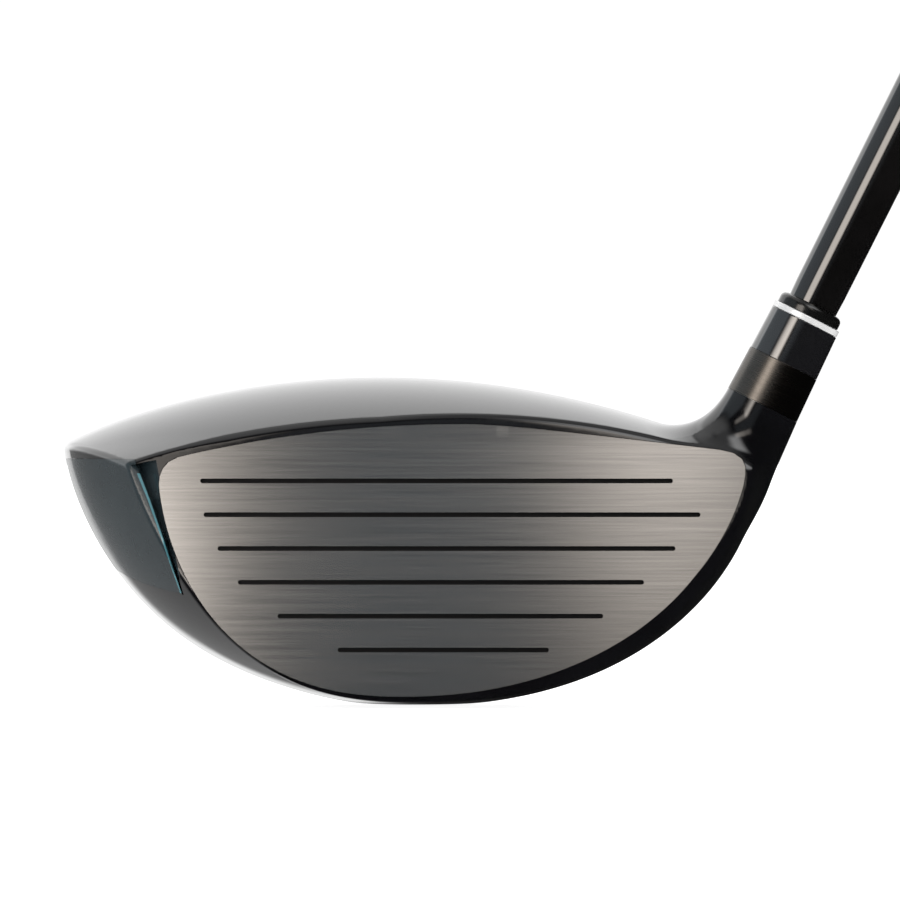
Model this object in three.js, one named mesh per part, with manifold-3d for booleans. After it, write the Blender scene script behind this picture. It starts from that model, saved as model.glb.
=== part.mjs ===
// Golf driver. Millimetres. X runs from the toe (-) to the heel (+), the face looks along -Y, Z is up.
// The origin is on the flat pad at the bottom of the sole.
import * as THREE from 'three';
import { ParametricGeometry } from 'three/addons/geometries/ParametricGeometry.js';
import { mergeVertices } from 'three/addons/utils/BufferGeometryUtils.js';
import Module from 'manifold-3d';

const wasm = await Module();
wasm.setup();

// ---------------------------------------------------------------- driving dimensions
const GAP = 0.3; // clearance between touching pieces
const WALL = 2.8; // wall of the cast head body

const BOWL = {
  centreX: -6, // middle of the skirt and sole
  backFrom: 20, // Y where the rear half starts to close
  depth: 59.5, // rear half, front to back
  toe: 60.8, // half width to the toe
  heel: 59.9, // half width to the heel
  rim: 43.5, // height where the skirt is widest
  bottom: -0.3, // the pad plane at Z 0 trims this much off
  toeWaist: 0.035, // how far the toe side draws in between rim and sole
};
const CROWN = {
  top: 56.3,
  x: -12,
  y: 13,
  across: 0.0034,
  along: 0.0056,
  ease: 0.16, // how much steeper the crown falls to the front than to the back
  skewToe: 0.12, // how far the ridge of the crown runs back towards the toe
  skewHeel: 0.24,
  edge: 1.3,
};
const FACE = {
  leadingY: -30,
  loft: 10.5,
  bulge: 300,
  roll: 300,
  centreZ: 25,
  thick: 2.8,
  toe: 42.3,
  heel: 57.6,
  heelCorner: 1.3, // added to the heel half width near the top
  centreX: -8,
  bottom: 1.6,
  top: 48.3,
  topFall: 0.0024,
  heelFall: 0.12,
};
const SCORE = { width: 0.8, deep: 0.5, pitch: 5.78, lowest: 9.6 };
const SCORE_ENDS = [
  [-19.2, 16.9],
  [-29.5, 26.2],
  [-36.3, 33.2],
  [-39.8, 38.6],
  [-42.2, 42.9],
  [-42.8, 38.2],
];
const LIE = THREE.MathUtils.degToRad(63.3);
const HOSEL = { x: 27.8, y: -7.5, top: 57.65, radius: 6.6, heelRadius: 7.6, bore: 5.45 };
const SEAT = { low: 26, high: 29, hole: 2.9, wellRadius: 5.6, linerTop: 37.5, linerBore: 6.6 };
const RING = { low: 57.95, high: 65.55, lowRadius: 6.6, highRadius: 6.38 };
const SLEEVE = { tip: 31, shoulder: 65.85, top: 73.65, stem: 5.15, lowRadius: 6.34, topRadius: 6.14, splines: 8 };
const SHAFT = { tip: 47, top: 1146, tipRadius: 4.25, buttRadius: 7.6, tipWall: 1.1, buttWall: 0.9 };
const GRIP = { low: 880, mouth: 10.2, butt: 13.3, capTop: 1151, capRadius: 14.4, vent: 1.2 };
const WEIGHT = { y: 61, radius: 11, thick: 6.2, tilt: 35, sunk: 1.2, screwHead: 4.6, thread: 2.5 };

// ---------------------------------------------------------------- shapes of the head
const bowlFront = (y) => Math.max(0, BOWL.backFrom - y);
const bowlExponent = (y) => 2 + 0.44 * (bowlFront(y) / 48) ** 2;
const bowlToe = (y) => BOWL.toe - 15.6 * (1 - Math.cos((Math.PI / 2) * Math.min(bowlFront(y) / 46, 1)));
const bowlHeel = (y) => BOWL.heel * (1 - 0.55 * (Math.max(0, 5 - y) / 50) ** 4);
const bowlBottom = (y) => BOWL.bottom + 1.1 * (Math.max(0, -4 - y) / 26) ** 2;
const bowlClose = (y, inset) => 1 - (Math.max(0, y - BOWL.backFrom) / (BOWL.depth - inset)) ** 2;

// Height of the crown over the ground.
function crownZ(x, y) {
  const dx = x - CROWN.x;
  const dy = y - (CROWN.y - (dx < 0 ? CROWN.skewToe : CROWN.skewHeel) * dx);
  const fall = CROWN.along * dy * dy * (1 - CROWN.ease * Math.tanh(dy / 12));
  const edge = CROWN.edge * (dx / 55) ** 6 * (dx < 0 ? 1 : 0);
  return CROWN.top - CROWN.across * dx * dx - fall - edge;
}

// Front surface of the head: loft, with bulge across it and roll up it.
function faceY(x, z) {
  const up = z - FACE.centreZ;
  const lean = (z - 2) * Math.tan(THREE.MathUtils.degToRad(FACE.loft));
  return FACE.leadingY + lean + (x * x) / (2 * FACE.bulge) + (up * up) / (2 * FACE.roll);
}

// ---------------------------------------------------------------- solids
function solid(geometry) {
  const bare = geometry.clone();
  bare.deleteAttribute('normal');
  bare.deleteAttribute('uv');
  const merged = mergeVertices(bare, 1e-4);
  const make = (triVerts) =>
    new wasm.Manifold(
      new wasm.Mesh({ numProp: 3, vertProperties: merged.attributes.position.array, triVerts }),
    );
  const faces = new Uint32Array(merged.index.array);
  const made = make(faces);
  return made.volume() < 0 ? make(faces.reverse()) : made;
}

// Closed solid through a row of rings. point(i, j) gives corner j of ring i.
function loft(rings, corners, point) {
  const centres = [0, rings - 1].map((i) => {
    const middle = new THREE.Vector3();
    for (let j = 0; j < corners; j++) middle.addScaledVector(point(i, j), 1 / corners);
    return middle;
  });
  const surface = (u, v, target) => {
    const i = Math.round(v * (rings + 1)) - 1;
    const j = Math.round(u * corners) % corners;
    if (i < 0) target.copy(centres[0]);
    else if (i > rings - 1) target.copy(centres[1]);
    else target.copy(point(i, j));
  };
  return solid(new ParametricGeometry(surface, corners, rings + 1));
}

// Everything inside the skirt and sole, drawn in by inset, with straight sides above the rim.
function bowlSolid(inset, around = 36, along = 18) {
  const high = 75;
  const section = (i, j) => {
    const t = i / along;
    const y = t < 0.5 ? -45 + 65 * 2 * t : 20 + (BOWL.depth - inset) * Math.sin((t - 0.5) * Math.PI * 0.995);
    const close = Math.max(bowlClose(y, inset), 1e-4);
    const angle = (j / around) * Math.PI;
    const side = Math.cos(angle);
    const down = Math.sin(angle);
    const bottom = bowlBottom(y) + inset;
    const z = BOWL.rim - (BOWL.rim - bottom) * Math.sqrt(close) * down;
    const waist = 1 - BOWL.toeWaist * Math.sin((Math.PI * Math.max(z, 0)) / BOWL.rim);
    const half = (side < 0 ? bowlHeel(y) : bowlToe(y) * waist) - inset;
    const reach = half * Math.pow(close * side * side, 1 / bowlExponent(y));
    return new THREE.Vector3(BOWL.centreX - Math.sign(side) * reach, y, z);
  };
  return loft(along + 1, around + 3, (i, j) => {
    if (j <= around) return section(i, j);
    const p = section(i, j === around + 1 ? around : 0);
    return p.setZ(high);
  });
}

// Everything under the crown surface, lowered by inset.
function crownSolid(inset, across = 20, along = 16) {
  return loft(along + 1, across + 3, (i, j) => {
    const y = -48 + (132 * i) / along;
    if (j > across) return new THREE.Vector3(j === across + 1 ? 82 : -82, y, -12);
    const x = -82 + (164 * j) / across;
    return new THREE.Vector3(x, y, crownZ(x, y) - inset);
  });
}

// Everything behind the face surface, moved back by inset.
function faceSolid(inset, across = 16, up = 8) {
  return loft(across + 1, up + 3, (i, j) => {
    const x = -85 + (170 * i) / across;
    if (j > up) return new THREE.Vector3(x, 100, j === up + 1 ? 90 : -15);
    const z = -15 + (105 * j) / up;
    return new THREE.Vector3(x, faceY(x, z) + inset, z);
  });
}

// Distance along a ray from the middle at which inside() turns false.
function reach(inside, far) {
  let low = 0;
  let high = far;
  for (let k = 0; k < 30; k++) {
    const middle = (low + high) / 2;
    if (inside(middle)) low = middle;
    else high = middle;
  }
  return low;
}

// A round outline sampled by angle: inside(x, y) tells whether a point is in it.
function outline(cx, cy, steps, inside) {
  const points = [];
  for (let i = 0; i < steps; i++) {
    const angle = (2 * Math.PI * i) / steps;
    const c = Math.cos(angle);
    const s = Math.sin(angle);
    const r = reach((d) => inside(cx + c * d, cy + s * d), 120);
    points.push(new THREE.Vector2(cx + c * r, cy + s * r));
  }
  return points;
}

// Soft maximum of two distances.
function softMax(a, b, k) {
  const h = Math.max(k - Math.abs(a - b), 0) / k;
  return Math.max(a, b) + (h * h * k) / 4;
}

// Outline of the face plate seen from the front, as X and Z.
function faceOutline(inset, steps = 48) {
  return outline(0, 26, steps, (x, z) => {
    const wider = FACE.heelCorner * Math.min(1, Math.max(0, (z - 22) / 16));
    const half = (x < FACE.centreX ? FACE.toe : FACE.heel + wider) - inset;
    const power = x < FACE.centreX ? 2.4 : 2.1;
    const across = (Math.abs(x - FACE.centreX) / half) ** power;
    const down = Math.max(0, (BOWL.rim - z) / (BOWL.rim - FACE.bottom - inset)) ** 2;
    const side = (across + down - 1) * 22;
    const toeFall = FACE.topFall * (x - 2) ** 2;
    const heelFall = FACE.heelFall * (Math.hypot(x - 2, 8) - 8);
    const top = z - (FACE.top - inset - (x < 2 ? toeFall : heelFall));
    return softMax(side, top, x < 2 ? 5 : 3.4) < 0;
  });
}

// Outline of the crown seen from above, drawn in from the rim and from the face.
function crownOutline(inset, fromFace, steps = 48) {
  return outline(BOWL.centreX, BOWL.backFrom, steps, (x, y) => {
    const z = crownZ(x, y);
    const half = (x > BOWL.centreX ? bowlHeel(y) : bowlToe(y)) - inset;
    const across = (Math.abs(x - BOWL.centreX) / half) ** bowlExponent(y);
    const down = Math.max(0, (BOWL.rim - z) / BOWL.rim) ** 2;
    return across + down < bowlClose(y, inset) && y > faceY(x, z) + fromFace;
  });
}

function prism(points, depth) {
  return new THREE.ExtrudeGeometry(new THREE.Shape(points), { depth, bevelEnabled: false });
}

// Prism of an outline in X and Z, running along Y from low to high.
function prismY(points, low, high) {
  const g = prism(points, high - low);
  g.rotateX(Math.PI / 2);
  g.translate(0, high, 0);
  return solid(g);
}

// Prism of an outline in X and Y, running up Z.
function prismZ(points, low, high) {
  const g = prism(points, high - low);
  g.translate(0, 0, low);
  return solid(g);
}

// Prism of an outline in Y and Z, running along X.
function prismX(points, low, high) {
  const g = prism(points, high - low);
  g.rotateY(Math.PI / 2);
  g.rotateX(Math.PI / 2);
  g.translate(low, 0, 0);
  return solid(g);
}

// Turned solid on an axis. The profile is a list of [radius, distance along the axis].
function turned(profile, origin, direction, segments = 24) {
  const points = profile.map(([r, s]) => new THREE.Vector2(r, s));
  const g = new THREE.LatheGeometry(points, segments);
  g.applyQuaternion(new THREE.Quaternion().setFromUnitVectors(new THREE.Vector3(0, 1, 0), direction));
  g.translate(origin.x, origin.y, origin.z);
  return solid(g);
}

const hoselFoot = new THREE.Vector3(HOSEL.x, HOSEL.y, 0);
const hoselAxis = new THREE.Vector3(Math.cos(LIE), 0, Math.sin(LIE));
const onHosel = (profile, segments) => turned(profile, hoselFoot, hoselAxis, segments);
const rod = (r, low, high) => [[0, low], [r, low], [r, high], [0, high]];
const tube = (inner, outer, low, high) => [[inner, low], [outer, low], [outer, high], [inner, high], [inner, low]];

// ---------------------------------------------------------------- head
const outerBowl = bowlSolid(0);
const outerFace = faceSolid(0);
const padCut = solid(new THREE.BoxGeometry(200, 200, 100).translate(0, 0, 50));
const outerHead = outerBowl.intersect(crownSolid(0)).intersect(outerFace).intersect(padCut);
const cavity = bowlSolid(WALL, 24, 14)
  .intersect(crownSolid(WALL, 14, 12))
  .intersect(faceSolid(FACE.thick + 1.8, 10, 6));

// Flare that carries the hosel into the crown, rounded by a 13 mm fillet.
const flare = [[0, 20], [24, 20], [24, 42]];
for (let i = 0; i <= 8; i++) {
  const angle = (i / 8) * (Math.PI / 2);
  flare.push([HOSEL.radius + 14 * (1 - Math.sin(angle)), HOSEL.top - 14 * Math.cos(angle)]);
}
flare.push([HOSEL.radius, HOSEL.top], [0, HOSEL.top]);
const flareSolid = onHosel(flare).intersect(bowlSolid(0.4, 32, 18)).intersect(faceSolid(0.6, 10, 6));
const hoselProfile = [[0, 0], [HOSEL.heelRadius, 0], [HOSEL.heelRadius, 42], [7.1, 50], [HOSEL.radius, HOSEL.top], [0, HOSEL.top]];
const aboveHeel = solid(new THREE.BoxGeometry(60, 60, 60).translate(50, 0, 57));
const hoselTube = onHosel(hoselProfile, 28).intersect(outerBowl.add(aboveHeel)).intersect(faceSolid(0.8, 10, 6));
const hoselHoles = onHosel([
  [0, -10],
  [SEAT.wellRadius, -10],
  [SEAT.wellRadius, SEAT.low],
  [SEAT.hole, SEAT.low],
  [SEAT.hole, SEAT.high],
  [SEAT.linerBore, SEAT.high],
  [SEAT.linerBore, SEAT.linerTop],
  [HOSEL.bore, SEAT.linerTop],
  [HOSEL.bore, HOSEL.top + 2],
  [0, HOSEL.top + 2],
]);

// Rear weight: its axis stands square to the sole there.
const weightTilt = THREE.MathUtils.degToRad(WEIGHT.tilt);
const weightAxis = new THREE.Vector3(0, -Math.sin(weightTilt), Math.cos(weightTilt));
const weightZ = BOWL.rim * (1 - Math.sqrt(bowlClose(WEIGHT.y, 0)));
const weightFoot = new THREE.Vector3(BOWL.centreX, WEIGHT.y, weightZ).addScaledVector(weightAxis, WEIGHT.sunk);
const onWeight = (profile, segments) => turned(profile, weightFoot, weightAxis, segments);
const boss = onWeight(rod(14, -6, 18)).intersect(outerHead);
const weightPocket = onWeight([
  [0, -12],
  [WEIGHT.radius + GAP, -12],
  [WEIGHT.radius + GAP, WEIGHT.thick + 1],
  [3.6 + GAP, WEIGHT.thick + 1],
  [3.6 + GAP, 15],
  [0, 15],
]);

// Recess beside the toe end of the face, as X and Z: the outer edge going up, then back down the face edge.
const notchPoints = [
  [-46.6, 19.2],
  [-48.1, 22.5],
  [-53.5, 40.5],
  [-50.6, 42.1],
  [-50.7, 38.7],
  [-50.2, 35.3],
  [-49.7, 31.8],
  [-48.9, 28.4],
  [-47.4, 23],
];
const notch = prismY(notchPoints.map(([x, z]) => new THREE.Vector2(x, z)), -60, -17.5);

// Toe panel, as Y and Z, bonded into the skirt.
const toePanelPoints = (grow) =>
  [
    [-16 - grow, 21.3 - grow],
    [-16 - grow, 41.6 + grow],
    [22, 41.9 + grow],
    [46, 38.5 + grow],
    [51 + grow, 35],
    [44, 29.5 - grow],
    [22, 23.6 - grow],
  ].map(([y, z]) => new THREE.Vector2(y, z));
const toeSlab = (points, outer, inner) =>
  prismX(points, -90, -30).intersect(bowlSolid(outer)).subtract(bowlSolid(inner));
const crownEdgeGuard = onHosel(rod(17.5, 20, 80));
const crownRecess = prismZ(crownOutline(1.3, 7), 20, 80).subtract(crownSolid(1.3)).subtract(crownEdgeGuard);
const crownOpening = prismZ(crownOutline(7, 13, 36), 10, 80).subtract(crownSolid(6, 14, 12)).subtract(onHosel(rod(23, 10, 90)));
const frontReach = -5;
const faceRecess = prismY(faceOutline(-GAP), -60, frontReach).subtract(faceSolid(FACE.thick + GAP, 12, 6));
const faceOpening = prismY(faceOutline(1.8), -60, frontReach);

const headBody = outerHead
  .subtract(cavity)
  .add(boss)
  .add(flareSolid.intersect(outerFace))
  .add(hoselTube)
  .subtract(faceRecess)
  .subtract(faceOpening.subtract(hoselTube))
  .subtract(crownRecess)
  .subtract(crownOpening)
  .subtract(notch)
  .subtract(toeSlab(toePanelPoints(GAP), -3, 1.5))
  .subtract(hoselHoles)
  .subtract(weightPocket);

const crownShell = prismZ(crownOutline(1.6, 7.3), 20, 80)
  .intersect(crownSolid(0))
  .subtract(crownSolid(1))
  .subtract(onHosel(rod(17.8, 20, 80)));
const toePanel = toeSlab(toePanelPoints(0), 0, 1.2);

let facePlate = prismY(faceOutline(0), -60, frontReach)
  .intersect(outerFace)
  .subtract(faceSolid(FACE.thick, 12, 6));
const scoreFloor = faceSolid(SCORE.deep);
SCORE_ENDS.forEach(([from, to], i) => {
  const line = new THREE.BoxGeometry(to - from, 40, SCORE.width);
  line.translate((from + to) / 2, -30, SCORE.lowest + SCORE.pitch * i);
  facePlate = facePlate.subtract(solid(line).subtract(scoreFloor));
});

// ---------------------------------------------------------------- hosel fittings
const hoselLiner = onHosel(tube(HOSEL.bore, SEAT.linerBore - GAP, SEAT.high + GAP, SEAT.linerTop - GAP));
const boltWasher = onHosel(tube(2.9, 5.1, SEAT.low - 0.9, SEAT.low - GAP));
const boltRetainer = onHosel(tube(2.75, 4.2, SEAT.high + GAP, SEAT.high + 1.6));
const BOLT = { low: SEAT.low - 5.7, underHead: SEAT.low - 1.2, tip: SEAT.high + 15 };
const socket = onHosel(rod(2.1, BOLT.low - 4, BOLT.low + 2.7), 6);
const hoselBolt = onHosel([
  [0, BOLT.low],
  [3.9, BOLT.low],
  [4.4, BOLT.low + 0.5],
  [4.4, BOLT.underHead],
  [2.45, BOLT.underHead],
  [2.45, BOLT.tip - 0.8],
  [2, BOLT.tip],
  [0, BOLT.tip],
]).subtract(socket);
const adjustingRing = onHosel([
  [HOSEL.bore, RING.low],
  [RING.lowRadius - 0.3, RING.low],
  [RING.lowRadius, RING.low + 0.4],
  [RING.highRadius, RING.high - 0.4],
  [RING.highRadius - 0.3, RING.high],
  [HOSEL.bore, RING.high],
  [HOSEL.bore, RING.low],
], 28);

// ---------------------------------------------------------------- shaft and its fittings
const shaftRadius = (s) => {
  if (s < 72) return SHAFT.tipRadius;
  if (s < 80) return SHAFT.tipRadius + (0.25 * (s - 72)) / 8;
  return SHAFT.tipRadius + 0.25 + ((SHAFT.buttRadius - SHAFT.tipRadius - 0.25) * (s - 80)) / (SHAFT.top - 80);
};
const shaftWall = (s) => SHAFT.tipWall + ((SHAFT.buttWall - SHAFT.tipWall) * s) / SHAFT.top;
const shaftStations = [SHAFT.tip, 72, 80, 300, 580, 860, SHAFT.top];
const shaftOutside = shaftStations.map((s) => [shaftRadius(s), s]);
const shaftInside = shaftStations.map((s) => [shaftRadius(s) - shaftWall(s), s]).reverse();
const shaft = onHosel([...shaftOutside, ...shaftInside, shaftOutside[0]]);

let adapterSleeve = onHosel([
  [2.75, SLEEVE.tip],
  [SLEEVE.stem - 0.5, SLEEVE.tip],
  [SLEEVE.stem, SLEEVE.tip + 0.8],
  [SLEEVE.stem, SLEEVE.shoulder],
  [SLEEVE.lowRadius - 0.3, SLEEVE.shoulder],
  [SLEEVE.lowRadius, SLEEVE.shoulder + 0.4],
  [SLEEVE.topRadius, SLEEVE.top - 0.4],
  [SLEEVE.topRadius - 0.3, SLEEVE.top],
  [SHAFT.tipRadius + GAP, SLEEVE.top],
  [SHAFT.tipRadius + GAP, SHAFT.tip - GAP],
  [2.75, SHAFT.tip - 2],
  [2.75, SLEEVE.tip],
], 28);
for (let i = 0; i < SLEEVE.splines; i++) {
  const groove = new THREE.BoxGeometry(1.2, 8, 1.4);
  groove.translate(SLEEVE.stem, SLEEVE.tip + 2.5, 0);
  groove.rotateY((2 * Math.PI * i) / SLEEVE.splines);
  groove.applyQuaternion(new THREE.Quaternion().setFromUnitVectors(new THREE.Vector3(0, 1, 0), hoselAxis));
  groove.translate(hoselFoot.x, hoselFoot.y, hoselFoot.z);
  adapterSleeve = adapterSleeve.subtract(solid(groove));
}
const trimRing = onHosel(tube(4.85, 6.15, SLEEVE.top + GAP, SLEEVE.top + GAP + 0.9), 28);
const ferruleLow = SLEEVE.top + 2 * GAP + 0.9;
const ferrule = onHosel([
  [4.85, ferruleLow],
  [5.65, ferruleLow],
  [5.65, ferruleLow + 1.2],
  [5.4, ferruleLow + 1.7],
  [4.85, ferruleLow + 1.9],
  [4.85, ferruleLow],
], 28);
const tipPlug = onHosel(rod(2.75, SHAFT.tip + 0.5, SHAFT.tip + 5), 20);

const gripOutside = [
  [GRIP.mouth - 0.7, GRIP.low],
  [GRIP.mouth, GRIP.low + 1],
  [GRIP.mouth, GRIP.low + 5],
  [GRIP.mouth - 0.5, GRIP.low + 6.5],
  [10.6, GRIP.low + 90],
  [11.7, GRIP.low + 180],
  [GRIP.butt, SHAFT.top - 12],
  [GRIP.butt + 0.4, SHAFT.top],
];
const tapeEnds = [GRIP.low + 4, SHAFT.top - 1];
const gripTape = onHosel([
  [shaftRadius(tapeEnds[0]) + 0.6, tapeEnds[0]],
  [shaftRadius(tapeEnds[1]) + 0.6, tapeEnds[1]],
  [shaftRadius(tapeEnds[1]) + 0.3, tapeEnds[1]],
  [shaftRadius(tapeEnds[0]) + 0.3, tapeEnds[0]],
  [shaftRadius(tapeEnds[0]) + 0.6, tapeEnds[0]],
]);
const grip = onHosel([
  ...gripOutside,
  [shaftRadius(SHAFT.top) + 0.9, SHAFT.top],
  [shaftRadius(GRIP.low) + 0.9, GRIP.low],
  gripOutside[0],
]);
const gripCap = onHosel([
  [GRIP.vent, SHAFT.top + GAP],
  [GRIP.capRadius - 0.5, SHAFT.top + GAP],
  [GRIP.capRadius, SHAFT.top + 1],
  [GRIP.capRadius, GRIP.capTop - 2.6],
  [GRIP.capRadius - 1, GRIP.capTop - 0.9],
  [GRIP.capRadius - 3.5, GRIP.capTop],
  [GRIP.vent, GRIP.capTop],
  [GRIP.vent, SHAFT.top + GAP],
], 28);

// ---------------------------------------------------------------- rear weight
const rearWeight = onWeight([
  [WEIGHT.screwHead + GAP, 0.3],
  [WEIGHT.radius - 0.6, 0.3],
  [WEIGHT.radius, 0.9],
  [WEIGHT.radius, WEIGHT.thick],
  [3.2, WEIGHT.thick],
  [3.2, 3.9],
  [WEIGHT.screwHead + GAP, 3.9],
  [WEIGHT.screwHead + GAP, 0.3],
]);
const weightSocket = onWeight(rod(2.2, -3, 2.6), 6);
const weightScrew = onWeight([
  [0, 0.5],
  [WEIGHT.screwHead - 0.4, 0.5],
  [WEIGHT.screwHead, 0.9],
  [WEIGHT.screwHead, 3.6],
  [WEIGHT.thread, 3.6],
  [WEIGHT.thread, 13.5],
  [WEIGHT.thread - 0.4, 14],
  [0, 14],
]).subtract(weightSocket);
const weightInsert = onWeight(tube(WEIGHT.thread + GAP, 3.6, WEIGHT.thick + 1.2, 14.6));
const weightSeal = onWeight(tube(WEIGHT.thread + GAP, 5, WEIGHT.thick + 0.2, WEIGHT.thick + 0.8));

// ---------------------------------------------------------------- named pieces
const group = new THREE.Group();
function piece(name, made, colour, roughness, metalness) {
  const mesh = made.getMesh();
  const count = mesh.vertProperties.length / mesh.numProp;
  const positions = new Float32Array(count * 3);
  for (let i = 0; i < count; i++) {
    for (let k = 0; k < 3; k++) positions[3 * i + k] = mesh.vertProperties[i * mesh.numProp + k];
  }
  const g = new THREE.BufferGeometry();
  g.setAttribute('position', new THREE.BufferAttribute(positions, 3));
  g.setIndex(new THREE.BufferAttribute(new Uint32Array(mesh.triVerts), 1));
  g.computeVertexNormals();
  const material = new THREE.MeshStandardMaterial({ color: colour, roughness, metalness, flatShading: true });
  const made3 = new THREE.Mesh(g, material);
  made3.name = name;
  group.add(made3);
}

piece('head_body', headBody, 0x16181a, 0.25, 0.4);
piece('face_plate', facePlate, 0x8f9298, 0.35, 0.9);
piece('crown_shell', crownShell, 0x0b0b0c, 0.08, 0.1);
piece('toe_panel', toePanel, 0x3c474b, 0.35, 0.3);
piece('hosel_liner', hoselLiner, 0xb4b6b8, 0.4, 0.9);
piece('bolt_washer', boltWasher, 0xa0a3a6, 0.35, 0.9);
piece('bolt_retainer', boltRetainer, 0x1c1c1c, 0.8, 0);
piece('hosel_bolt', hoselBolt, 0x8c9095, 0.3, 0.95);
piece('adjusting_ring', adjustingRing, 0x4a4640, 0.45, 0.7);
piece('adapter_sleeve', adapterSleeve, 0x0c0c0d, 0.15, 0.5);
piece('trim_ring', trimRing, 0xd8dadc, 0.15, 1);
piece('ferrule', ferrule, 0x2b2b2c, 0.4, 0);
piece('shaft', shaft, 0x0a0a0b, 0.12, 0.1);
piece('tip_plug', tipPlug, 0x9a6a3c, 0.9, 0);
piece('grip_tape', gripTape, 0xe6e0cc, 0.8, 0);
piece('grip', grip, 0x17181a, 0.85, 0);
piece('grip_cap', gripCap, 0x202124, 0.8, 0);
piece('rear_weight', rearWeight, 0x70747a, 0.3, 0.95);
piece('weight_screw', weightScrew, 0xa9adb1, 0.3, 0.95);
piece('weight_insert', weightInsert, 0xb48a3c, 0.4, 0.9);
piece('weight_seal', weightSeal, 0x1a1a1a, 0.85, 0);

export default group;
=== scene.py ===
"""Golf driver: fine surfaces, materials, light and camera. Shapes are worked out in millimetres."""

import math

import bmesh
import bpy
import numpy as np
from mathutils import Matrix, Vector


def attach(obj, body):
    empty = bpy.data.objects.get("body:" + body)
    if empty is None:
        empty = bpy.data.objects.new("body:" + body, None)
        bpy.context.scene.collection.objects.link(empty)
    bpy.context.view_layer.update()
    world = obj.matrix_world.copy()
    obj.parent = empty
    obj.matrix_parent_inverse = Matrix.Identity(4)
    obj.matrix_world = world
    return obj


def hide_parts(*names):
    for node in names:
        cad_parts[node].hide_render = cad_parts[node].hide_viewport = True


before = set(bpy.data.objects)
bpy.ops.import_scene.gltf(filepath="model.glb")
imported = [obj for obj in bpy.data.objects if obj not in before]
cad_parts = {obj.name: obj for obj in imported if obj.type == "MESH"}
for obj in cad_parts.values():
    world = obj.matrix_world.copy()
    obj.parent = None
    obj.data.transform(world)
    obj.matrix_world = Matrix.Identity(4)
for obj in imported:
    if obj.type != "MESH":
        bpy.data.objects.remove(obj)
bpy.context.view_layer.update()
MM = 0.001

# ---------------------------------------------------------------- head dimensions, as in the CAD
# Bowl, the skirt and sole: its middle and depth, half widths, height where it is widest, lowest point.
CENTRE_X, BACK_FROM, DEPTH = -6.0, 20.0, 59.5
TOE, HEEL, RIM, BOTTOM, WAIST = 60.8, 59.9, 43.5, -0.3, 0.035
TOE_TAPER, HEEL_TAPER = 15.6, 0.55
# Crown: its highest point, and how it falls away from there.
CROWN_TOP, CROWN_X, CROWN_Y = 56.3, -12.0, 13.0
ACROSS, ALONG, EASE, SKEW_TOE, SKEW_HEEL, EDGE = 0.0034, 0.0056, 0.16, 0.12, 0.24, 1.3
# Face: its surface, the outline of its plate, how round the lip of the head is beside it, and the depth of
# the plate and of its seat.
LEADING_Y, LOFT, BULGE, ROLL, ROLL_Z = -30.0, math.radians(10.5), 300.0, 300.0, 25
FACE_X, FACE_TOE, FACE_HEEL, FACE_HEEL_UP = -8, 42.3, 57.6, 1.3
FACE_LOW, FACE_TOP, FACE_PEAK_X = 1.6, 48.3, 2
LIP, LIP_LESS_AT_TOE, LIP_MORE_AT_HEEL = 1.1, 0.5, 1.4
PLATE, PLATE_BED = 2.8, 3.0
# Hosel: distances along its axis start at FOOT, on the ground.
LIE = math.radians(63.3)
FOOT = np.array([27.8, -7.5, 0.0])
AXIS = np.array([math.cos(LIE), 0.0, math.sin(LIE)])
HOSEL_FROM, HOSEL_TOP, HOSEL_RADIUS, HOSEL_BORE = 36, 57.65, 6.62, 5.45
BOLT_WELL, BOLT_BORE, BOLT_SEAT = 5.6, 2.9, 26
SHAFT_TOP, SHAFT_WALL, TIP_RADIUS = 1146.0, 1.05, 4.25
GRIP_LOW = 880.0
# Rear weight: behind the middle, tilted out of the sole.
TILT = math.radians(35)
WEIGHT_AXIS = np.array([0.0, -math.sin(TILT), math.cos(TILT)])
WEIGHT_Y, WEIGHT_SUNK, POCKET, POCKET_FLOOR = 61.0, 1.2, 11.3, 7.2


def crown_z(x, y):
    dx = x - CROWN_X
    dy = y - (CROWN_Y - SKEW_TOE * np.minimum(dx, 0) - SKEW_HEEL * np.maximum(dx, 0))
    fall = ALONG * dy * dy * (1 - EASE * np.tanh(dy / 12))
    edge = EDGE * (np.minimum(dx, 0) / 55) ** 6
    return CROWN_TOP - ACROSS * dx * dx - fall - edge


def face_y(x, z):
    up = z - ROLL_Z
    return LEADING_Y + (z - 2) * math.tan(LOFT) + x * x / (2 * BULGE) + up * up / (2 * ROLL)


def soft_max(a, b, k):
    h = np.maximum(k - np.abs(a - b), 0) / k
    return np.maximum(a, b) + h * h * k / 4


def soft_min(a, b, k):
    return -soft_max(-a, -b, k)


def half_widths(y):
    """How far y lies in front of the widest line, and the half widths of the bowl there to toe and heel."""
    front = np.maximum(0, BACK_FROM - y)
    toe = TOE - TOE_TAPER * (1 - np.cos(math.pi / 2 * np.minimum(front / 46, 1)))
    heel = HEEL * (1 - HEEL_TAPER * (np.clip(5 - y, 0, 50) / 50) ** 4)
    return front, toe, heel


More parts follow.
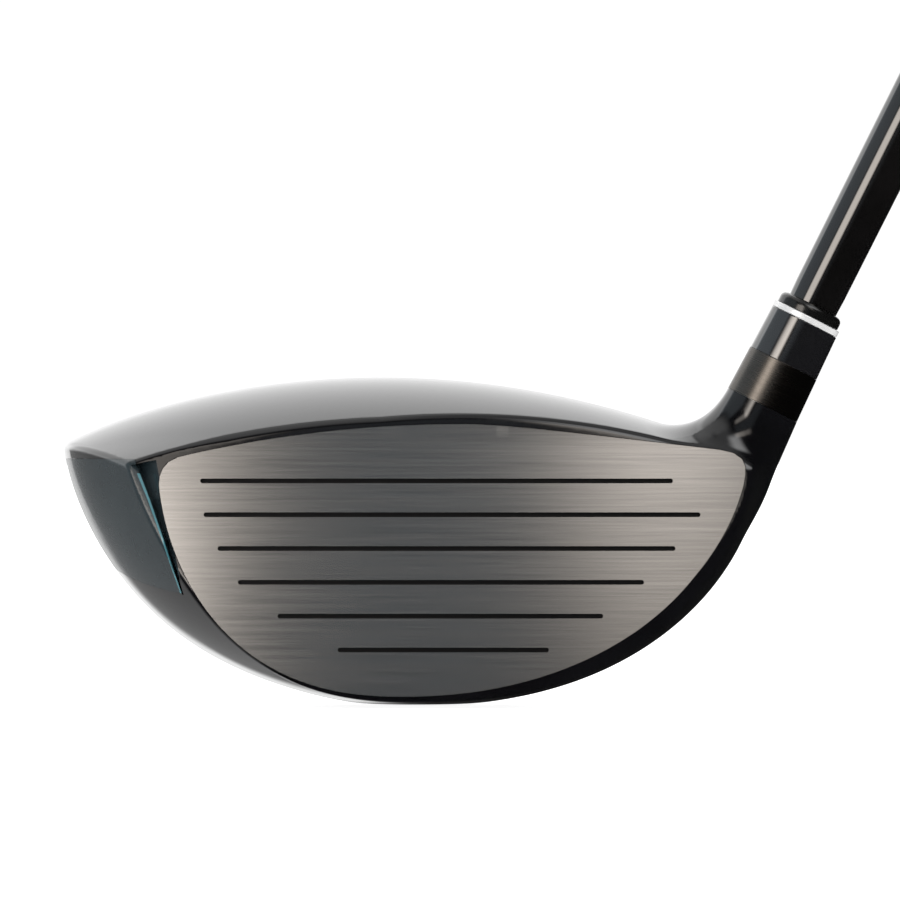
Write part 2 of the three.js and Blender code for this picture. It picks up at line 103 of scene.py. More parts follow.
def bowl(p):
    """About the distance outside the skirt and sole."""
    x, y, z = p
    front, toe, heel = half_widths(y)
    power = 2 + 0.44 * np.minimum(front / 48, 1.1) ** 2
    toe = toe * (1 - WAIST * np.sin(math.pi * np.clip(z, 0, RIM) / RIM))
    dx = x - CENTRE_X
    half = np.where(dx < 0, toe, heel)
    low = BOTTOM + 1.1 * (np.maximum(0, -4 - y) / 26) ** 2
    u = np.abs(dx) / half
    v = np.maximum(0, RIM - z) / (RIM - low)
    w = np.maximum(0, y - BACK_FROM) / DEPTH
    g = np.sqrt(u**power + v * v + w * w + 1e-9)
    slope = np.sqrt((u / half) ** 2 + (v / RIM) ** 2 + (w / DEPTH) ** 2 + 1e-9)
    return (g - 1) * g / slope


def crown(p):
    x, y, z = p
    return (z - crown_z(x, y)) * 0.93


def face(p):
    x, y, z = p
    return (face_y(x, soft_min(z, 50.0, 6.0)) - y) * math.cos(LOFT)


def along(p, foot, axis):
    """Distance along an axis and distance from it."""
    d = [p[i] - foot[i] for i in range(3)]
    s = d[0] * axis[0] + d[1] * axis[1] + d[2] * axis[2]
    r2 = d[0] ** 2 + d[1] ** 2 + d[2] ** 2 - s * s
    return s, np.sqrt(np.maximum(r2, 1e-9))


def hosel(p):
    s, r = along(p, FOOT, AXIS)
    radius = HOSEL_RADIUS + 0.05 * np.clip(HOSEL_TOP - s, 0, 20)
    return soft_max(r - radius, HOSEL_FROM - s, 10)


def flare(p):
    """How softly the hosel runs into the crown: widely on the toe side, tightly on the heel side."""
    s, r = along(p, FOOT, AXIS)
    toward_heel = ((p[0] - FOOT[0]) * AXIS[2] - p[2] * AXIS[0]) / np.maximum(r, 1.0)
    return 6.3 - 3.3 * np.clip(toward_heel * 1.3, -1, 1)


def head(p):
    """The whole head, negative inside. Its lip by the face is sharp at the toe, rounder low at the heel."""
    shell = soft_max(bowl(p), crown(p), 1.0)
    body = soft_min(shell, hosel(p), flare(p))
    lip = LIP - LIP_LESS_AT_TOE * np.clip((-38 - p[0]) / 8, 0, 1)
    lip = lip + LIP_MORE_AT_HEEL * np.clip((p[0] + 20) / 30, 0, 1) * np.clip((34 - p[2]) / 10, 0, 1)
    body = soft_max(body, face(p), lip)
    body = soft_max(body, -p[2], 0.6)
    s = along(p, FOOT, AXIS)[0]
    return np.maximum(body, s - HOSEL_TOP - 2)


# ---------------------------------------------------------------- field to mesh
def sample(f, low, high, h):
    """Values of a field on a grid of pitch h."""
    axes = [np.arange(low[i], high[i] + h, h, dtype=np.float32) for i in range(3)]
    values = np.empty([len(a) for a in axes], dtype=np.float32)
    gy, gz = np.meshgrid(axes[1], axes[2], indexing="ij")
    for i, x in enumerate(axes[0]):
        values[i] = f((np.full_like(gy, x), gy, gz))
    return values


def surface_net(values, low, h):
    """Dual surface of a sampled field: one vertex in each crossed cell, one quad on each crossed edge."""
    inside = values < 0
    nx, ny, nz = values.shape
    cell = np.zeros((nx - 1, ny - 1, nz - 1), dtype=np.int8)
    total = np.zeros((nx - 1, ny - 1, nz - 1, 3), dtype=np.float32)
    count = np.zeros((nx - 1, ny - 1, nz - 1), dtype=np.float32)
    corner = [(a, b, c) for a in (0, 1) for b in (0, 1) for c in (0, 1)]
    for a in corner:
        cell += inside[a[0] : nx - 1 + a[0], a[1] : ny - 1 + a[1], a[2] : nz - 1 + a[2]]
    active = (cell > 0) & (cell < 8)
    ids = np.full(active.shape, -1, dtype=np.int64)
    ids[active] = np.arange(active.sum())
    base = np.argwhere(active)
    pos = np.zeros((len(base), 3))
    hits = np.zeros(len(base))
    for a in corner:
        for k in range(3):
            if a[k]:
                continue
            b = list(a)
            b[k] = 1
            va = values[tuple((base + a).T)]
            vb = values[tuple((base + b).T)]
            cross = (va < 0) != (vb < 0)
            t = np.where(cross, va / np.where(cross, va - vb, 1), 0)
            q = np.array(a, dtype=float)[None, :].repeat(len(base), 0)
            q[:, k] += t
            pos += np.where(cross[:, None], q, 0)
            hits += cross
    verts = (base + pos / hits[:, None]) * h + np.array(low)
    quads = []
    for k in range(3):
        i, j = (k + 1) % 3, (k + 2) % 3
        size = [nx, ny, nz]
        take = [slice(1, s - 1) for s in size]
        take[k] = slice(0, size[k] - 1)
        up = list(take)
        up[k] = slice(1, size[k])
        a, b = inside[tuple(take)], inside[tuple(up)]
        e = np.argwhere(a != b)
        start = np.array([1, 1, 1])
        start[k] = 0
        e0 = e + start
        flip = inside[tuple(e0.T)]
        ring = []
        for di, dj in ((-1, -1), (0, -1), (0, 0), (-1, 0)):
            c = e0.copy()
            c[:, i] += di
            c[:, j] += dj
            ring.append(ids[tuple(c.T)])
        ring = np.stack(ring, 1)
        ring[~flip] = ring[~flip][:, ::-1]
        quads.append(ring)
    return verts, np.concatenate(quads)


def gradient(f, v, e=0.02):
    """Slope of a field at each vertex."""
    g = np.empty_like(v)
    for k in range(3):
        d = np.zeros(3)
        d[k] = e
        g[:, k] = (f((v + d).T) - f((v - d).T)) / (2 * e)
    return g


def settle(f, v, rounds=4):
    """Move vertices onto the surface."""
    for _ in range(rounds):
        g = gradient(f, v)
        step = f(v.T) / np.maximum((g * g).sum(1), 0.05)
        v = v - np.clip(step, -0.4, 0.4)[:, None] * g
    return v


def add_object(name, data):
    obj = bpy.data.objects.new(name, data)
    bpy.context.scene.collection.objects.link(obj)
    return obj


def new_object(name, verts, faces):
    """Mesh object from arrays, in millimetres."""
    mesh = bpy.data.meshes.new(name)
    mesh.from_pydata((np.asarray(verts) * MM).tolist(), [], np.asarray(faces).tolist())
    mesh.validate()
    mesh.update()
    return add_object(name, mesh)


def from_faces(name, verts, faces):
    """Mesh object whose faces may have different numbers of corners, in millimetres."""
    mesh = bpy.data.meshes.new(name)
    mesh.from_pydata([tuple(np.asarray(v, dtype=float) * MM) for v in verts], [], [tuple(f) for f in faces])
    mesh.update()
    return add_object(name, mesh)


def cut(obj, tool, how="DIFFERENCE", keep_tool=False):
    """Boolean of one solid with another, which is then removed unless it is kept."""
    mod = obj.modifiers.new("cut", "BOOLEAN")
    mod.operation = how
    mod.solver = "MANIFOLD"
    mod.object = tool
    settle_mesh(obj)
    if not keep_tool:
        bpy.data.objects.remove(tool)
    return obj


def settle_mesh(obj):
    """Make the result of an object's modifiers its own mesh."""
    bpy.context.view_layer.update()
    done = bpy.data.meshes.new_from_object(obj.evaluated_get(bpy.context.evaluated_depsgraph_get()))
    obj.modifiers.clear()
    old = obj.data
    obj.data = done
    bpy.data.meshes.remove(old)


def copy_of(obj, name):
    made = obj.copy()
    made.data = obj.data.copy()
    made.name = name
    bpy.context.scene.collection.objects.link(made)
    return made


def field_normals(obj, f, limit=30.0):
    """Shade the curved skin with the surface's own normals; cut walls keep theirs."""
    mesh = obj.data
    mesh.polygons.foreach_set("use_smooth", [True] * len(mesh.polygons))
    n = len(mesh.vertices)
    co = np.empty(n * 3)
    mesh.vertices.foreach_get("co", co)
    co = co.reshape(-1, 3) / MM
    g = gradient(f, co)
    g /= np.maximum(np.linalg.norm(g, axis=1), 1e-9)[:, None]
    m = len(mesh.loops)
    vi = np.empty(m, dtype=np.int32)
    mesh.loops.foreach_get("vertex_index", vi)
    fn = np.empty(len(mesh.polygons) * 3)
    mesh.polygons.foreach_get("normal", fn)
    fn = fn.reshape(-1, 3)
    totals = np.empty(len(mesh.polygons), dtype=np.int32)
    mesh.polygons.foreach_get("loop_total", totals)
    face_of = np.repeat(np.arange(len(mesh.polygons)), totals)
    centre = np.empty(len(mesh.polygons) * 3)
    mesh.polygons.foreach_get("center", centre)
    off = np.abs(f((centre.reshape(-1, 3) / MM).T))
    ok = ((g[vi] * fn[face_of]).sum(1) > math.cos(math.radians(limit))) & (off[face_of] < 0.12)
    normals = np.where(ok[:, None], g[vi], fn[face_of])
    mesh.normals_split_custom_set(normals.tolist())


def prism(name, outline, place, low, high):
    """Closed prism of an outline. place(u, v, w) is the point at outline (u, v) and distance w."""
    return wedge(name, [place(u, v, low) for u, v in outline], [place(u, v, high) for u, v in outline])


def wedge(name, *rings):
    """Closed solid through rings of the same number of points."""
    n = len(rings[0])
    verts = [v for ring in rings for v in ring]
    faces = [tuple(range(n))[::-1], tuple(range(len(verts) - n, len(verts)))]
    for k in range(len(rings) - 1):
        a, b = k * n, (k + 1) * n
        faces += [(a + i, a + (i + 1) % n, b + (i + 1) % n, b + i) for i in range(n)]
    obj = from_faces(name, verts, faces)
    bm = bmesh.new()
    bm.from_mesh(obj.data)
    bmesh.ops.recalc_face_normals(bm, faces=bm.faces)
    bmesh.ops.triangulate(bm, faces=[f for f in bm.faces if len(f.verts) > 4])
    bm.to_mesh(obj.data)
    bm.free()
    return obj


def reach(inside, cx, cy, steps, far=120.0):
    """Outline by angle around a middle point, found by halving."""
    angle = np.arange(steps) * 2 * math.pi / steps
    c, s = np.cos(angle), np.sin(angle)
    low, high = np.zeros(steps), np.full(steps, far)
    for _ in range(30):
        mid = (low + high) / 2
        ok = inside(cx + c * mid, cy + s * mid)
        low, high = np.where(ok, mid, low), np.where(ok, high, mid)
    return list(zip(cx + c * low, cy + s * low))


def face_outline(inset):
    """Outline of the face plate as X and Z, drawn in by inset."""

    def inside(x, z):
        heel = FACE_HEEL + FACE_HEEL_UP * np.clip((z - 22) / 16, 0, 1)
        half = np.where(x < FACE_X, FACE_TOE, heel) - inset
        power = np.where(x < FACE_X, 2.4, 2.1)
        across = (np.abs(x - FACE_X) / half) ** power
        down = (np.maximum(0, RIM - z) / (RIM - FACE_LOW - inset)) ** 2
        side = (across + down - 1) * 22
        dx = x - FACE_PEAK_X
        fall = np.where(dx < 0, 0.0024 * dx**2, 0.12 * (np.hypot(dx, 8) - 8))
        return soft_max(side, z - (FACE_TOP - inset - fall), np.where(dx < 0, 5, 3.4)) < 0

    return reach(inside, 0, 26, 240)


def crown_outline(inset, from_face):
    """Outline of the crown as X and Y: inset from the rim, from_face behind the face, clear of the hosel."""

    def inside(x, y):
        z = crown_z(x, y)
        front, toe, heel = half_widths(y)
        half = np.where(x > CENTRE_X, heel, toe) - inset
        power = 2 + 0.44 * (front / 48) ** 2
        across = (np.abs(x - CENTRE_X) / half) ** power
        down = (np.maximum(0, RIM - z) / RIM) ** 2
        close = 1 - (np.maximum(0, y - BACK_FROM) / (DEPTH - inset)) ** 2
        away = np.hypot(x - 49.5, y + 7.5) - 19.5
        a = (across + down - close) * 25
        b = face_y(x, z) + from_face - y
        return soft_max(soft_max(a, b, 6), -away, 6) < 0

    return reach(inside, CENTRE_X, BACK_FROM, 300)


def round_profile(profile, radius, steps=4):
    """Round each corner by its third value, or else by radius, with a guard point on each long side of it."""
    out = []
    n = len(profile)
    for i, item in enumerate(profile):
        p = np.array(item[:2], dtype=float)
        r = item[2] if len(item) > 2 else radius
        if i in (0, n - 1) or r <= 0:
            out.append(tuple(p))
            continue
        a = np.array(profile[i - 1][:2], dtype=float) - p
        b = np.array(profile[i + 1][:2], dtype=float) - p
        la, lb = np.linalg.norm(a), np.linalg.norm(b)
        d = min(r, la * 0.45, lb * 0.45)
        pa, pb = p + a / la * d, p + b / lb * d
        guard = d + 0.1
        if la > 3 * guard:
            out.append(tuple(p + a / la * guard))
        for k in range(steps + 1):
            t = k / steps
            out.append(tuple((1 - t) ** 2 * pa + 2 * t * (1 - t) * p + t * t * pb))
        if lb > 3 * guard:
            out.append(tuple(p + b / lb * guard))
    return out


def lathe(name, profile, foot=FOOT, axis=AXIS, radius=0.12, segments=96, angle=35):
    """Turned piece. The profile lists (radius, distance along the axis[, corner radius])."""
    closed = tuple(profile[0][:2]) == tuple(profile[-1][:2])
    pts = round_profile(profile, radius)
    if closed:
        pts = pts[:-1]
    q = Vector((0, 0, 1)).rotation_difference(Vector(axis))
    bm = bmesh.new()
    rings = []
    for r, s in pts:
        if r < 1e-6:
            ring = [bm.verts.new(Vector((0, 0, s)))]
        else:
            ring = []
            for i in range(segments):
                a = 2 * math.pi * i / segments
                ring.append(bm.verts.new(Vector((r * math.cos(a), r * math.sin(a), s))))
        rings.append(ring)
    for one, two in zip(rings, rings[1:] + ([rings[0]] if closed else [])):
        for i in range(segments):
            j = (i + 1) % segments
            corners = [one[i % len(one)], one[j % len(one)], two[j % len(two)], two[i % len(two)]]
            seen = list(dict.fromkeys(corners))
            if len(seen) > 2:
                bm.faces.new(seen)
    bmesh.ops.recalc_face_normals(bm, faces=bm.faces)
    bmesh.ops.rotate(bm, verts=bm.verts, cent=(0, 0, 0), matrix=q.to_matrix())
    bmesh.ops.translate(bm, verts=bm.verts, vec=Vector(foot))
    bmesh.ops.scale(bm, verts=bm.verts, vec=(MM, MM, MM))
    mesh = bpy.data.meshes.new(name)
    bm.to_mesh(mesh)
    bm.free()
    obj = add_object(name, mesh)
    smooth(obj, angle)
    return obj


def smooth(obj, angle=35):
    """Smooth shading, sharp where faces meet at more than angle."""
    mesh = obj.data
    mesh.polygons.foreach_set("use_smooth", [True] * len(mesh.polygons))
    mesh.set_sharp_from_angle(angle=math.radians(angle))


def rod(r, low, high):
    """Profile of a solid bar."""
    return [(0, low), (r, low), (r, high), (0, high)]


def tube(inner, outer, low, high):
    """Profile of a ring. It starts and ends in the middle of the bore, so all four corners are rounded."""
    start = (inner, (low + high) / 2)
    return [start, (inner, low), (outer, low), (outer, high), (inner, high), start]


def ride(obj, body, *nodes):
    """Tie a finished piece to its body and hide the CAD nodes that it stands for."""
    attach(obj, body)
    if nodes:
        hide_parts(*nodes)
    return obj


# ---------------------------------------------------------------- materials
def material(
    name, colour, roughness, metallic=0.0, coat=0.0, coat_roughness=0.03, coat_ior=1.5, anisotropic=0.0,
    spec=0.5,
):
    m = bpy.data.materials.new(name)
    m.use_nodes = True
    b = m.node_tree.nodes["Principled BSDF"]
    b.inputs["Base Color"].default_value = (*colour, 1)
    b.inputs["Roughness"].default_value = roughness
    b.inputs["Metallic"].default_value = metallic
    b.inputs["Coat Weight"].default_value = coat
    b.inputs["Coat IOR"].default_value = coat_ior
    b.inputs["Coat Roughness"].default_value = coat_roughness
    b.inputs["Anisotropic"].default_value = anisotropic
    b.inputs["Specular IOR Level"].default_value = spec
    return m


def node(m, kind, **inputs):
    """New shader node with its input values. An underscore in an input's name stands for a space."""
    n = m.node_tree.nodes.new(kind)
    for key, value in inputs.items():
        n.inputs[key.replace("_", " ")].default_value = value
    return n


def link(m, a, b):
    m.node_tree.links.new(a, b)


def texture(m, scale, stretch=(1, 1, 1), detail=4.0, rough=0.6, rotate=(0, 0, 0)):
    """Noise over the object's own coordinates, stretched along its axes. Returns the height output."""
    coord = m.node_tree.nodes.new("ShaderNodeTexCoord")
    spin = m.node_tree.nodes.new("ShaderNodeMapping")
    spin.inputs["Rotation"].default_value = rotate
    squeeze = m.node_tree.nodes.new("ShaderNodeMapping")
    squeeze.inputs["Scale"].default_value = stretch
    noise = node(m, "ShaderNodeTexNoise", Scale=scale, Detail=detail, Roughness=rough)
    link(m, coord.outputs["Object"], spin.inputs["Vector"])
    link(m, spin.outputs["Vector"], squeeze.inputs["Vector"])
    link(m, squeeze.outputs["Vector"], noise.inputs["Vector"])
    return noise.outputs["Fac"]


def spread(m, source, low, high, target, start=0.3, end=0.7):
    """Map a 0 to 1 height onto low to high and drive a number socket with it."""
    n = m.node_tree.nodes.new("ShaderNodeMapRange")
    n.inputs["From Min"].default_value = start
    n.inputs["From Max"].default_value = end
    n.inputs["To Min"].default_value = low
    n.inputs["To Max"].default_value = high
    link(m, source, n.inputs["Value"])
    link(m, n.outputs["Result"], target)


def tint(m, source, one, two, start=0.35, end=0.65):
    """Blend two colours by a height into the base colour."""
    ramp = m.node_tree.nodes.new("ShaderNodeValToRGB")
    ramp.color_ramp.elements[0].position = start
    ramp.color_ramp.elements[0].color = (*one, 1)
    ramp.color_ramp.elements[1].position = end
    ramp.color_ramp.elements[1].color = (*two, 1)
    link(m, source, ramp.inputs["Fac"])
    link(m, ramp.outputs["Color"], bsdf(m).inputs["Base Color"])


def bsdf(m):
    return m.node_tree.nodes["Principled BSDF"]


def bump(m, source, strength, distance):
    n = node(m, "ShaderNodeBump", Strength=strength, Distance=distance)
    link(m, source, n.inputs["Height"])
    link(m, n.outputs["Normal"], bsdf(m).inputs["Normal"])


def gloss_black(name, colour=(0.002, 0.002, 0.0025), coat_ior=1.5):
    m = material(name, colour, 0.12, coat=1.0, coat_roughness=0.02, coat_ior=coat_ior)
    spread(m, texture(m, 900, detail=2), 0.1, 0.17, bsdf(m).inputs["Roughness"])
    tint(m, texture(m, 60), colour, tuple(1.6 * c for c in colour))
    bump(m, texture(m, 220, detail=1.5), 0.02, 0.0004)
    return m


def turned_metal(name, colour, roughness, strength=0.12, metallic=1.0, coat=0.0, marks=1.0, coat_ior=1.5):
    """Surface with fine marks round the hosel axis."""
    m = material(name, colour, roughness, metallic, coat=coat, coat_ior=coat_ior, anisotropic=0.5)
    rotate = (0, -(math.pi / 2 - LIE), 0)
    fine = texture(m, 2600, (0.02, 0.02, 1), detail=3, rotate=rotate)
    bump(m, fine, strength, 0.00003)
    low, high = roughness * (1 - 0.2 * marks), roughness * (1 + 0.25 * marks)
    spread(m, fine, low, high, bsdf(m).inputs["Roughness"])
    tint(m, texture(m, 300), tuple(0.88 * c for c in colour), colour)
    return m


paint = gloss_black("gloss_black_paint")
crown_paint = gloss_black("gloss_black_crown", (0.0022, 0.0022, 0.0024))

toe_material = material("toe_composite", (0.016, 0.024, 0.028), 0.25, coat=0.6, coat_roughness=0.06)
spread(toe_material, texture(toe_material, 400, detail=2), 0.23, 0.28, bsdf(toe_material).inputs["Roughness"])
tint(toe_material, texture(toe_material, 70), (0.013, 0.021, 0.025), (0.019, 0.028, 0.032))
bump(toe_material, texture(toe_material, 260, detail=1.5), 0.01, 0.00008)
# Painted highlight for the ridge strip: the toe panel's teal made much brighter, standing in for the light
# that the ridge catches.
ridge_highlight_paint = material("toe_ridge_painted_highlight", (0.05, 0.17, 0.2), 0.25, coat=0.8)
spread(ridge_highlight_paint, texture(ridge_highlight_paint, 700), 0.2, 0.32, bsdf(ridge_highlight_paint).inputs["Roughness"])

face_metal = material("brushed_face", (0.5, 0.49, 0.49), 0.24, 1.0, anisotropic=0.45)
grain = texture(face_metal, 1500, (0.03, 0.03, 1), detail=2, rough=0.5)
spread(face_metal, grain, 0.22, 0.27, bsdf(face_metal).inputs["Roughness"])
streaks = texture(face_metal, 3600, (0.012, 0.02, 1), detail=4, rough=0.75)
tint(face_metal, streaks, (0.41, 0.405, 0.4), (0.59, 0.585, 0.58), 0.2, 0.8)
tangent = face_metal.node_tree.nodes.new("ShaderNodeTangent")
tangent.direction_type = "UV_MAP"
tangent.uv_map = "brushing"
link(face_metal, tangent.outputs["Tangent"], bsdf(face_metal).inputs["Tangent"])

score_paint = material("score_line_black", (0.003, 0.003, 0.0035), 0.5, spec=0.2)
spread(score_paint, texture(score_paint, 900), 0.35, 0.6, bsdf(score_paint).inputs["Roughness"])
ring_metal = turned_metal("graphite_ring", (0.18, 0.166, 0.152), 0.27, strength=0.015, marks=0.3)
sleeve_metal = turned_metal(
    "black_sleeve", (0.006, 0.006, 0.007), 0.16, strength=0.03, metallic=0.0, coat=1.0, coat_ior=2.1
)
stem_metal = turned_metal("bare_sleeve_stem", (0.55, 0.55, 0.56), 0.3)
silver = turned_metal("silver_trim", (0.9, 0.9, 0.9), 0.25, strength=0.05, metallic=0.45)
steel = turned_metal("fastener_steel", (0.42, 0.42, 0.43), 0.3)
weight_metal = turned_metal("weight_tungsten", (0.3, 0.31, 0.33), 0.33)
brass = turned_metal("insert_brass", (0.62, 0.45, 0.2), 0.3)
bore_metal = material("cast_titanium", (0.34, 0.33, 0.32), 0.5, 1.0)
spread(bore_metal, texture(bore_metal, 800), 0.4, 0.62, bsdf(bore_metal).inputs["Roughness"])
bump(bore_metal, texture(bore_metal, 1200), 0.25, 0.00005)
liner_metal = turned_metal("liner_aluminium", (0.6, 0.6, 0.61), 0.35)

ferrule_plastic = material("ferrule_plastic", (0.003, 0.003, 0.003), 0.25, coat=0.7, coat_roughness=0.08)
spread(ferrule_plastic, texture(ferrule_plastic, 1500), 0.2, 0.32, bsdf(ferrule_plastic).inputs["Roughness"])
bump(ferrule_plastic, texture(ferrule_plastic, 1800), 0.06, 0.00003)

shaft_paint = gloss_black("shaft_gloss_black", (0.0022, 0.002, 0.002), 1.95)
rubber = material("grip_rubber", (0.018, 0.0185, 0.02), 0.72, spec=0.35)
spread(rubber, texture(rubber, 700), 0.62, 0.85, bsdf(rubber).inputs["Roughness"])
tint(rubber, texture(rubber, 45), (0.015, 0.0155, 0.017), (0.026, 0.0265, 0.028))
bump(rubber, texture(rubber, 3500, detail=3), 0.35, 0.0001)
soft_black = material("seal_rubber", (0.012, 0.012, 0.012), 0.7)
spread(soft_black, texture(soft_black, 900), 0.6, 0.8, bsdf(soft_black).inputs["Roughness"])
cork = material("plug_cork", (0.42, 0.26, 0.13), 0.9)
tint(cork, texture(cork, 1200), (0.25, 0.14, 0.06), (0.5, 0.33, 0.18))
bump(cork, texture(cork, 1500), 0.5, 0.0002)
tape = material("grip_tape", (0.62, 0.58, 0.46), 0.85)
tint(tape, texture(tape, 900, (1, 1, 0.1)), (0.52, 0.48, 0.37), (0.68, 0.64, 0.52))
bump(tape, texture(tape, 2500), 0.3, 0.0001)


def dress(obj, *materials):
    """Give a piece its materials, the main one first."""
    obj.data.materials.clear()
    for m in materials:
        obj.data.materials.append(m)
    return obj


# ---------------------------------------------------------------- head
STEP, COARSE_STEP, GRID = 0.5, 1.5, 2.0
LOW, COARSE_LOW = np.array([-69.0, -33.0, -1.3]), np.array([-69.5, -33.5, -2.3])
HIGH = np.array([66.0, 81.5, 61.0])
verts, quads = surface_net(sample(head, LOW, HIGH, STEP), LOW, STEP)
shell = new_object("head_shell", settle(head, verts), quads)


def square_x(u, v, w):
    """Outline in Y and Z, drawn out along X."""
    return (w, u, v)


def square_y(u, v, w):
    """Outline in X and Z, drawn out along Y."""
    return (u, w, v)


def square_z(u, v, w):
    """Outline in X and Y, drawn out along Z."""
    return (u, v, w)


def height_block(name, drop):
    """Solid under the crown surface lowered by drop."""
    xs = np.arange(-75, 76, GRID)
    ys = np.arange(-42, 91, GRID)
    gx, gy = np.meshgrid(xs, ys, indexing="ij")
    top = np.stack([gx, gy, crown_z(gx, gy) - drop], -1).reshape(-1, 3)
    return slab(name, top, len(xs), len(ys), (0, 0, -80.0))


def slab(name, top, n, m, shift):
    """Closed solid between a grid of points and the same grid moved by shift."""
    far = top + np.array(shift)
    total = len(top)

    def at(i, j):
        return i * m + j

    faces = []
    for i in range(n - 1):
        for j in range(m - 1):
            a, b, c, d = at(i, j), at(i + 1, j), at(i + 1, j + 1), at(i, j + 1)
            faces += [(a, b, c, d), (d + total, c + total, b + total, a + total)]
    edge = [at(i, 0) for i in range(n)] + [at(n - 1, j) for j in range(1, m)]
    edge += [at(i, m - 1) for i in range(n - 2, -1, -1)] + [at(0, j) for j in range(m - 2, 0, -1)]
    for a, b in zip(edge, edge[1:] + edge[:1]):
        faces.append((a, a + total, b + total, b))
    obj = new_object(name, np.concatenate([top, far]), np.array(faces))
    bm = bmesh.new()
    bm.from_mesh(obj.data)
    bmesh.ops.recalc_face_normals(bm, faces=bm.faces)
    bm.to_mesh(obj.data)
    bm.free()
    return obj


def face_block(name, back):
    """Solid behind the face surface moved back by back."""
    xs = np.arange(-72, 73, GRID)
    zs = np.arange(-8, 63, GRID)
    gx, gz = np.meshgrid(xs, zs, indexing="ij")
    top = np.stack([gx, face_y(gx, gz) + back, gz], -1).reshape(-1, 3)
    return slab(name, top, len(xs), len(zs), (0, 120.0, 0))


# Crown: bonded on, with its own outline. SEAM is half the gap round a piece.
SEAM, CROWN_SKIN = 0.04, 1.0
RIM_INSET, CROWN_FROM_FACE = 1.6, 7.3
crown_piece = copy_of(shell, "crown_gloss")
crown_prism = prism("p", crown_outline(RIM_INSET, CROWN_FROM_FACE), square_z, 15, 90)
cut(crown_piece, crown_prism, "INTERSECT", keep_tool=True)
cut(crown_piece, height_block("h", CROWN_SKIN))
cut(shell, cut(crown_prism, height_block("h", CROWN_SKIN)))

# Toe panel: corners of its outline in Y and Z. RIDGE is where it ends beside the face, in X and Z, going up.
PANEL_SKIN, PANEL_BED = 1.2, 1.35
TOE_PANEL = [(-24, 18.8), (-24, 42.2), (22, 42.4), (46, 38.7), (51, 35), (44, 29.5), (22, 24.4), (-8, 20.2)]
RIDGE = [(-45.9, 19.0), (-46.9, 22.0), (-49.0, 28.4), (-51.4, 35.3), (-53.7, 41.2)]
# Widths of the painted highlight strip at the first four points of RIDGE.
RIDGE_HIGHLIGHT_WIDTHS = [0.25, 0.3, 0.37, 0.45]


def toe_outline(grow, steps=10):
    """Toe panel outline as Y and Z with rounded corners, grown by a distance."""
    n = len(TOE_PANEL)
    middle = np.mean(np.array(TOE_PANEL), axis=0)
    out = []
    for i in range(n):
        p = np.array(TOE_PANEL[i], dtype=float)
        a = np.array(TOE_PANEL[i - 1], dtype=float) - p
        b = np.array(TOE_PANEL[(i + 1) % n], dtype=float) - p
        d = min(0.5 if i in (0, 1) else 9.0, 0.45 * np.linalg.norm(a), 0.45 * np.linalg.norm(b))
        pa, pb = p + a / np.linalg.norm(a) * d, p + b / np.linalg.norm(b) * d
        for k in range(steps + 1):
            t = k / steps
            out.append((1 - t) ** 2 * pa + 2 * t * (1 - t) * p + t * t * pb)
    return [tuple(q + grow * (q - middle) / np.linalg.norm(q - middle)) for q in out]


def inner_skin(name, depth):
    """Coarse solid of the head drawn in by depth, to cut shallow recesses against."""

    def drawn_in(p):
        return head(p) + depth

    field = sample(drawn_in, COARSE_LOW, HIGH, COARSE_STEP)
    verts, quads = surface_net(field, COARSE_LOW, COARSE_STEP)
    return new_object(name, settle(drawn_in, verts), quads)


def toe_block(grow):
    """Everything the toe panel's outline covers, up to the ridge beside the face."""
    right = [(x + grow, z) for x, z in RIDGE] + [(-54.6 + grow, 44), (-54.6 + grow, 60)]
    right += [(0, 60), (0, 0), (-43 + grow, 0)]
    return cut(prism("p", toe_outline(grow), square_x, -90, -30), prism("r", right, square_y, -60, -14.5))


toe_piece = copy_of(shell, "toe_panel_skin")
cut(toe_piece, toe_block(-SEAM), "INTERSECT")
cut(toe_piece, inner_skin("i", PANEL_SKIN))
cut(shell, cut(toe_block(SEAM), inner_skin("i", PANEL_BED)))

# Channel beside the toe end of the face: a steep wall under the ridge, and a floor that rises to the face.
# It has one section at each point of RIDGE. CHAMFER is how far the section bevels the ridge, and FACE_SIDE is
# where its floor meets the face, in X and Z.
CHAMFER = [0.0, 0.0, 0.15, 0.85, 1.5]
FACE_SIDE = [(-45.4, 19.0), (-46.25, 22.2), (-47.65, 28.5), (-49.1, 35.4), (-50.4, 42.1)]


def skin_y(x, z):
    """Where a line from the front first meets the head."""
    ys = np.arange(-34.0, 10.0, 0.02)
    return float(ys[np.argmax(head((np.full_like(ys, x), ys, np.full_like(ys, z))) < 0)])


sections = []
for k, ((rx, rz), (fx, fz)) in enumerate(zip(RIDGE, FACE_SIDE)):
    t = k / (len(RIDGE) - 1)
    ry, fy = skin_y(rx, rz), face_y(fx, fz) + 0.35
    slope, out = CHAMFER[k], 0.1 + 0.4 * min(CHAMFER[k], 1.0)
    sections.append([
        (rx - slope - out, -60, rz), (fx, -60, fz), (fx, fy, fz),
        (rx + 0.2 + 0.3 * t, max(ry, fy) + 0.5 + 2.2 * t, rz), (rx, ry + 0.02 + 0.6 * slope, rz),
        (rx - slope - out, ry - 0.6 * out, rz),
    ])
channel_tool = wedge("c", *sections)
cut(toe_piece, channel_tool, keep_tool=True)
cut(shell, channel_tool)

